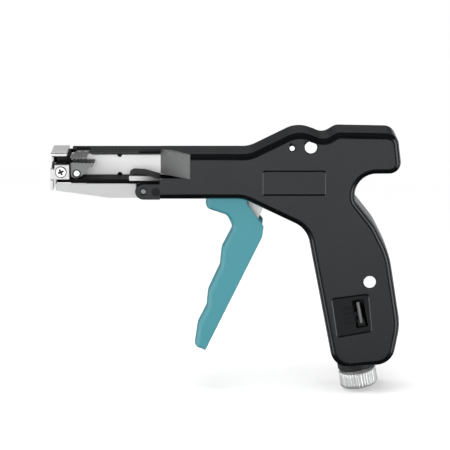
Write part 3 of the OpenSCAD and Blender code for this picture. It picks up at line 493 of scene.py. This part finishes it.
def rising(value, low, high):
    """A soft step: 0 below low, 1 above high, and three t squared less two t cubed between them."""
    return value.node("ShaderNodeMapRange", {"interpolation_type": "SMOOTHSTEP"},
                      {"Value": value, "From Min": low, "From Max": high, "To Min": 0.0, "To Max": 1.0})


def steel(name, tone, rough, along, dark=0.86, metal=0.8, darkening=None):
    """Bare or plated steel with fine lines along one axis. Duller finishes are given a smaller metal share.
    Darkening gives the share of near black at a place in millimetres; most pieces use it for painted shade in
    creases, hollows and on faces turned from the light."""
    material, where, shader = finish_of(name, metallic=metal)
    lines = streaks(where, along)
    patches = cloud(where, 0.012)
    share = lines * 0.6 + patches * 0.4
    colour = mix_colour(where, share, [c * dark for c in tone], tone)
    if darkening:
        place = [where.node("ShaderNodeSeparateXYZ", {}, {0: where}, i) * 1000.0 for i in range(3)]
        colour = mix_colour(where, darkening(*place), colour, (0.004, 0.004, 0.004))
    feed(shader,
         base_color=colour,
         roughness=lines * 0.16 + patches * 0.08 + (rough - 0.12),
         normal=where.node("ShaderNodeBump", {}, {"Strength": 0.12, "Distance": 0.00004, "Height": lines}))
    return material


def dressed(node, material, body, edge, segments=2):
    """A CAD node's own shape with its edges broken. An edge is one that turns by more than the facets of a
    smooth face do."""
    smooth = math.radians(32)
    mesh = joined(node, (material,))
    piece = bpy.data.objects.new(node + "_dressed", mesh)
    bpy.context.scene.collection.objects.link(piece)
    if edge:
        bevel = piece.modifiers.new("broken_edges", "BEVEL")
        bevel.width = edge
        bevel.segments = segments
        bevel.limit_method = "ANGLE"
        bevel.angle_limit = smooth
        bevel.use_clamp_overlap = True
        weighted = piece.modifiers.new("flat_faces_first", "WEIGHTED_NORMAL")
        weighted.keep_sharp = True
    else:
        mesh.set_sharp_from_angle(angle=smooth)
    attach(piece, body)
    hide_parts(node)


black_oxide = steel("black_oxide", (0.035, 0.035, 0.037), 0.38, "Y")
for node in ("housing_screws", "front_screw"):
    dressed(node, black_oxide, "housing", edge=0.00015)
dressed("knob_set_screw", black_oxide, "knob", edge=0.0001)
dressed("cutoff_rod", black_oxide, "cutoff", edge=0.0001)

# The nose is a folded plate of ground steel with a cap, held by one cross-slotted screw. A line of painted
# shade marks where the cap's lip is folded, and painted shade fills the screw's cross and the ring round its
# head.
ground_steel = steel("ground_steel", (0.86, 0.86, 0.85), 0.34, "X", metal=0.5)
screw_x, screw_z, head_y = 5.15, -5.65, -9.6


def fold_shade_line(x, y, z):
    """1 on the cap's near face between two heights, where the fold's shade is painted, and 0 elsewhere."""
    return rising(z, 3.3, 3.42) * (1.0 - rising(z, 3.62, 3.74)) * (1.0 - rising(y, -9.3, -9.2))


def screw_shade(x, y, z):
    """Painted shade: 1 deeper than the head's face, as in its cross, and 1 where the square of the distance
    from the screw's axis is past the square of the head's radius, as in the ring round it."""
    across, up = x - screw_x, z - screw_z
    return rising(y, head_y + 0.05, head_y + 0.15) + rising(across * across + up * up, 5.6, 6.3)


cap_steel = steel("cap_steel", (0.96, 0.96, 0.95), 0.34, "X", metal=0.5, darkening=fold_shade_line)
screw_steel = steel("screw_steel", (0.96, 0.96, 0.95), 0.26, "X", metal=0.3, dark=0.95, darkening=screw_shade)
dressed("nose_cap", cap_steel, "housing", edge=0.00025)
dressed("face_plate", ground_steel, "housing", edge=0.00025)
dressed("nose_screw", screw_steel, "housing", edge=0.0001)

# The knife lever's pin is turned steel, worn darker than the nose, its end well rounded. The thrust washer
# between the collar and the knob is ground flat, as the nose plate is.
pin_steel = steel("worn_pin", (0.30, 0.305, 0.305), 0.36, "Y", metal=0.5)
dressed("knuckle_pin", pin_steel, "housing", edge=0.0004, segments=3)
dressed("thrust_washer", ground_steel, "housing", edge=0.0001)

# Black nylon lines the nose behind its plate and guides the slider along the channel. The stepped collar
# under the handle is the same plastic, with a fine matt grain.
black_nylon, where, shader = finish_of("black_nylon", specular_ior_level=0.4)
grain = cloud(where, 0.0006)
feed(shader,
     base_color=mix_colour(where, grain, (0.010, 0.010, 0.011), (0.018, 0.018, 0.019)),
     roughness=grain * 0.15 + 0.42,
     normal=where.node("ShaderNodeBump", {}, {"Strength": 0.2, "Distance": 0.00004, "Height": grain}))
for node in ("nose_insert", "slide_guide", "handle_collar"):
    dressed(node, black_nylon, "housing", edge=0.0002)

# The slider is a rolled steel plate that carries the gripper back, in a near-white matt colour that is a
# painted reflection of the white studio. The ribbed anvil is riveted on top of it, and the toothed pawl, with
# painted shade over its teeth and behind its near face, as in the ring round its pin, swings up against the
# anvil.
rolled_steel_painted_reflection = steel("rolled_steel_painted_reflection", (0.98, 0.985, 0.98), 0.34, "X", dark=0.97, metal=0.05)
dressed("slider", rolled_steel_painted_reflection, "slider", edge=0.00015)
dark_steel = steel("dark_steel", (0.20, 0.205, 0.205), 0.42, "X", metal=0.6)
rib_step = 1.5


def rib_stripes(x, y, z):
    """Darker stripes: the sine of the way along the anvil, one turn to a rib, kept to its near edge."""
    return x.math("SINE", x * (2 * math.pi / rib_step)) * (1.0 - rising(y, -7.9, -7.6))


anvil_steel = steel("anvil_steel", (0.22, 0.22, 0.215), 0.42, "Y", dark=0.55, metal=0.2, darkening=rib_stripes)
dressed("anvil", anvil_steel, "slider", edge=0.0001)


def teeth_shade(x, y, z):
    """Painted shade: 0 on the near face below the teeth, rising up to them and just behind the face."""
    return rising(z, -1.5, -1.0) + rising(y, -7.95, -7.85)


pawl_steel = steel("pawl_steel", (0.25, 0.255, 0.25), 0.42, "X", metal=0.4, darkening=teeth_shade)
dressed("pawl", pawl_steel, "pawl", edge=0.0001)

# The ramp and the finger that turn the strap's tail out of the side are grey, shot-blasted castings. The
# finger's near face keeps its light grey at the tip, and painted shade darkens it over its top, behind its
# face and towards the ramp.
blasted = steel("blasted", (0.165, 0.17, 0.165), 0.52, "Z", dark=0.9, metal=0.25)
dressed("tail_ramp", blasted, "housing", edge=0.0004, segments=3)


def finger_shade(x, y, z):
    """Painted shade: 0 on the near face at the tip, rising over the top edge, behind the face and along the
    finger.
    """
    return rising(z, -7.1, -6.7) + rising(y, -12.0, -11.7) + rising(x, 39.5, 52.0) * 0.9


finger_steel = steel("finger_steel", (0.58, 0.58, 0.57), 0.70, "X", metal=0.0, darkening=finger_shade)
dressed("guide_finger", finger_steel, "housing", edge=0.0006, segments=4)

# The pins are turned and polished steel, pressed in or held between the halves. The ends of three of them
# show as bright discs on the side of the housing, and the others lie inside it.
polished_pin = steel("polished_pin", (0.98, 0.98, 0.98), 0.20, "Y", dark=0.98, metal=0.6)
for node in ("trigger_pin", "rocker_pin", "stop_pin", "handle_pin"):
    dressed(node, polished_pin, "housing", edge=0.00012)
for node in ("slide_pin", "anvil_rivets", "pawl_pin"):
    dressed(node, polished_pin, "slider", edge=0.0001)
dressed("link_pin", polished_pin, "trigger", edge=0.0002)
dressed("rod_pin", polished_pin, "rocker", edge=0.0001)

# The knife lever is a folded sheet of satin steel that lifts the blade. Painted shade darkens its top edge
# beside the pin, where it runs under the housing's arm.


def lever_shade(x, y, z):
    """Painted shade: 1 above a height and behind a place along the lever, and 0 elsewhere."""
    return rising(x, 41.0, 42.0) * rising(z, -12.9, -12.5)


satin_sheet = steel("satin_sheet", (0.575, 0.58, 0.575), 0.42, "X", dark=0.95, metal=0.3, darkening=lever_shade)
dressed("knife_lever", satin_sheet, "lever", edge=0.00025)
dressed("blade", rolled_steel_painted_reflection, "blade", edge=0.0)

# Inside are the link, the rocker, the tension rod with its nut and pointer, and four springs, all of plain
# machined steel or drawn wire. They lie on their pins between the halves.
dressed("drive_link", rolled_steel_painted_reflection, "link", edge=0.0003)
for node, body in (("rocker", "rocker"), ("tension_rod", "pull_rod"), ("setting_screw", "knob")):
    dressed(node, dark_steel, body, edge=0.0001)
dressed("tension_nut", black_oxide, "nut", edge=0.0001)
spring_wire = steel("spring_wire", (0.20, 0.20, 0.205), 0.36, "X")
for node, body in (("pawl_spring", "slider"), ("return_spring", "housing"), ("lever_spring", "housing"),
                   ("tension_spring", "housing")):
    dressed(node, spring_wire, body, edge=0.0)
dressed("indicator", pin_steel, "nut", edge=0.0002)

# The trigger is moulded in teal nylon, a U in section with a full round front, open towards the handle. It
# turns on its pin, whose bore goes through both sides, and the link's pin shows in the far side.
teal_nylon, where, shader = finish_of("teal_nylon", specular_ior_level=0.5, coat_weight=0.1,
                                      coat_roughness=0.25)
grain = cloud(where, 0.0008)
patches = cloud(where, 0.03)
feed(shader,
     base_color=mix_colour(where, patches, (0.050, 0.255, 0.300), (0.060, 0.285, 0.330)),
     roughness=grain * 0.08 + 0.34,
     normal=where.node("ShaderNodeBump", {}, {"Strength": 0.15, "Distance": 0.00003, "Height": grain}))
trigger_at, link_at = np.array([89.998, -13.994]), np.array([95.996, -30.997])
trigger_bore, link_bore = 2.05, 1.85
trigger_l, trigger_w, trigger_wall, trigger_round = 82.5, 16.0, 1.8, 2.4
# Corners of the trigger's outline about its pin, each with its radius, as shares of its length. The U is open
# between two of them, where only the last twentieth of the half width is broken, by a fifth of the rounding.
trigger_shares = np.array([
    [-0.17, -0.012, 0.018], [-0.055, 0.051, 0.036], [0.055, 0.043, 0.045], [0.067, -0.091, 0.048],
    [0.133, -0.188, 0.018], [0.165, -0.23, 0.024], [0.156, -0.297, 0.061], [-0.189, -1.0126, 0.02],
    [-0.251, -0.9915, 0.03], [-0.2296, -0.8474, 0.08], [-0.177, -0.742, 0.06], [-0.1673, -0.6424, 0.07],
    [-0.0965, -0.4885, 0.08], [-0.0853, -0.379, 0.07], [-0.0188, -0.2495, 0.05], [-0.053, -0.177, 0.05],
    [-0.182, -0.134, 0.04]])
trigger_corners = trigger_shares * trigger_l + np.array([*trigger_at, 0.0])
first_back, last_back, arc_steps = 3, 7, 10
edge_from, edge_share = 0.95, 0.2


def trigger_sheets():
    """The U of the trigger: both sides and the front between them. Rows run round the outline at depths
    across it. Along the front a row is moved inward by the rounding times the 2.5th power of its share of the
    half width, so that the front is one full curve. Along the open back only the last edge is broken."""
    plain = rounded_path(trigger_corners, 0.0, arc_steps)
    moved = rounded_path(trigger_corners, trigger_round, arc_steps) - plain
    column = np.arange(len(plain)) / (arc_steps + 1)
    back = np.clip(np.minimum(column - first_back + 1, last_back + 1 - column), 0, 1)[:, None]
    share = np.concatenate([[0.0, 0.3, 0.55, 0.75, 0.88], np.linspace(0.92, 1.0, 6)])
    broken = np.where(share > edge_from, ((share - edge_from) / (1.0 - edge_from)) ** 2, 0.0)
    rows = [plain + moved * (full * (1 - back) + edge_share * small * back)
            for full, small in zip(share ** 2.5, broken)]
    depths = share * trigger_w / 2
    near = [lifted(row, -depth) for row, depth in zip(rows[::-1], depths[::-1])]
    far = [lifted(row, depth) for row, depth in zip(rows[1:], depths[1:])]
    points, faces = strip(near + far)
    row, at = faces[:, 0] // len(plain), column[faces[:, 0] % len(plain)]
    open_back = (row > 1) & (row < len(near) + len(far) - 3) \
        & (at > first_back + 0.9) & (at < last_back + 0.4)
    pin_hole, link_hole = circle(trigger_at, trigger_bore), circle(link_at, link_bore)
    return [(points, faces[~open_back]), filled(rows[-1], [pin_hole], -trigger_w / 2),
            filled(rows[-1], [pin_hole, link_hole], trigger_w / 2)]


squeezed = shell("squeezed", trigger_sheets(), teal_nylon, None, thickness=trigger_wall, sharp=50.0)
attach(squeezed, "trigger")
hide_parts("trigger")

# The knob is turned steel, nickel plated, with straight shallow flutes cut round it. It is fixed on the
# setting screw by a set screw and turns against the washer under the collar.
nickel = steel("nickel", (0.86, 0.86, 0.85), 0.30, "Z", dark=0.90, metal=0.7)
knob_r, knob_h, knob_teeth, flute, knob_up = 9.4, 8.1, 36, 0.22, 3.8


def on_axis(radius, turn, down):
    """Points at a radius and an angle about the knob's leaning axis, some way below the handle's foot."""
    across, deep = radius * np.cos(turn), radius * np.sin(turn)
    return np.stack([foot[0] + across * math.cos(lean) + down * math.sin(lean), deep,
                     foot[1] + across * math.sin(lean) - down * math.cos(lean)], -1)


def knob_sheets():
    """The knob's round. At a turn its radius is the outer one less the flute's depth times the fourth power
    of a cosine, which leaves broad ribs between narrow grooves. A row of the profile gives a height above the
    lower end, a radius and the share of the flute's depth, so that the grooves run out over rounded ends."""
    turn = np.linspace(0, 2 * np.pi, knob_teeth * 12, endpoint=False)
    groove = np.cos(turn * knob_teeth / 2) ** 4
    rim = [(0.0, 8.3, 0.0), (0.08, 8.75, 0.0), (0.35, 9.1, 0.3), (0.75, knob_r, 1.0)]
    profile = [(0.0, 3.0, 0.0), (0.0, 6.0, 0.0), *rim] + [(up, knob_r, 1.0) for up in (2.0, 4.0, 6.0)] \
        + [(knob_h - up, radius, deep) for up, radius, deep in rim[::-1]] \
        + [(knob_h, 5.0, 0.0), (knob_h, 3.2, 0.0)]
    points, faces = strip([on_axis(radius - flute * deep * groove, turn, knob_up + knob_h - up)
                           for up, radius, deep in profile])
    n = len(turn)
    hub = on_axis(np.array([0.0]), np.array([0.0]), knob_up + knob_h)
    cap = np.column_stack([np.roll(np.arange(n), -1), np.arange(n), np.full(n, n)])
    return [(points, faces), (np.vstack([points[:n], hub]), cap)]


turned = shell("turned_knob", knob_sheets(), nickel, None, sharp=40.0)
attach(turned, "knob")
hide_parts("knob")

# A white sweep lies half a millimetre under the knob. It keeps the tool's soft shadow near by, and farther
# out it shows plain white to the camera.
floor_half, floor_drop, shadow_end, plain_start = 4.0, 0.0005, 0.25, 0.6
floor_mesh = bpy.data.meshes.new("sweep")
floor_z = cad_box[0][2] - floor_drop
floor_mesh.from_pydata([(x * floor_half, y * floor_half, floor_z)
                        for x, y in ((-1, -1), (1, -1), (1, 1), (-1, 1))], [], [(0, 1, 2, 3)])
sweep = bpy.data.objects.new("sweep", floor_mesh)
bpy.context.scene.collection.objects.link(sweep)
white = bpy.data.materials.new("white_sweep")
white.use_nodes = True
tree = white.node_tree
tree.nodes.clear()
path = tree.nodes.new("ShaderNodeLightPath")
seen = Value(tree, path.outputs["Is Camera Ray"])
place = Value(tree, tree.nodes.new("ShaderNodeTexCoord").outputs["Object"])
reach_out = place.node("ShaderNodeVectorMath", {"operation": "LENGTH"}, {0: place}, 1)
far = rising(reach_out, shadow_end, plain_start)
matt = seen.node("ShaderNodeBsdfDiffuse", {}, {"Color": (0.9, 0.9, 0.9, 1.0)})
glow = seen.node("ShaderNodeEmission", {}, {"Color": (1.0, 1.0, 1.0, 1.0), "Strength": 0.30})
lit = seen.node("ShaderNodeAddShader", {}, {0: matt, 1: glow})
bright = seen.node("ShaderNodeEmission", {}, {"Color": (1.0, 1.0, 1.0, 1.0), "Strength": 1.0})
floor_seen = seen.node("ShaderNodeMixShader", {}, {0: far, 1: lit, 2: bright})
mixed = seen.node("ShaderNodeMixShader", {}, {0: seen, 1: matt, 2: floor_seen})
out = tree.nodes.new("ShaderNodeOutputMaterial")
tree.links.new(mixed.socket, out.inputs["Surface"])
sweep.visible_glossy = False
sweep.data.materials.append(white)

# The studio round the tool: white to the eye and an even soft fill. Gloss mirrors a white card ahead and
# another behind, a soft box to each side of them, and dark between, as photographed metal and paint do.
world = bpy.data.worlds.new("studio")
bpy.context.scene.world = world
world.use_nodes = True
tree = world.node_tree
tree.nodes.clear()
path = tree.nodes.new("ShaderNodeLightPath")
seen = Value(tree, path.outputs["Is Camera Ray"])
glossy = Value(tree, path.outputs["Is Glossy Ray"])
way = Value(tree, tree.nodes.new("ShaderNodeTexCoord").outputs["Generated"])
x, y, z = (way.node("ShaderNodeSeparateXYZ", {}, {0: way}, i) for i in range(3))


def between(value, low0, low1, high0, high1):
    """1 between low1 and high0, and 0 outside low0 and high1, with soft steps."""
    return rising(value, low0, low1) * (1.0 - rising(value, high0, high1))


level = (x * x + y * y).math("POWER", x * x + y * y, 0.5)
aside = way.math("ABSOLUTE", x / level)
ahead = y / level
card = between(aside, -1.0, -0.9, 0.22, 0.34) * between(z, -0.42, -0.22, -0.08, 0.04)
side_box = between(aside, 0.62, 0.74, 0.92, 0.985) * between(z, -0.6, -0.4, 0.3, 0.5)
behind = between(ahead, -0.1, 0.1, 2.0, 2.1)
ceiling = between(z, 0.75, 0.95, 2.0, 2.1)
studio_tone = (card * 1.3 + side_box * 2.6) * (1.0 - behind * 0.5) + ceiling * 0.03 \
    + between(z, 0.05, 0.25, 0.4, 0.6) * behind * 0.14 + 0.012
fill = seen.node("ShaderNodeBackground", {}, {"Color": (1.0, 1.0, 1.0, 1.0), "Strength": 0.45})
mirrored = seen.node("ShaderNodeBackground", {}, {"Color": (0.96, 0.98, 1.0, 1.0), "Strength": studio_tone})
plain = seen.node("ShaderNodeBackground", {}, {"Color": (1.0, 1.0, 1.0, 1.0), "Strength": 1.0})
around = seen.node("ShaderNodeMixShader", {}, {0: glossy, 1: fill, 2: mirrored})
mixed = seen.node("ShaderNodeMixShader", {}, {0: seen, 1: around, 2: plain})
out = tree.nodes.new("ShaderNodeOutputWorld")
tree.links.new(mixed.socket, out.inputs["Surface"])
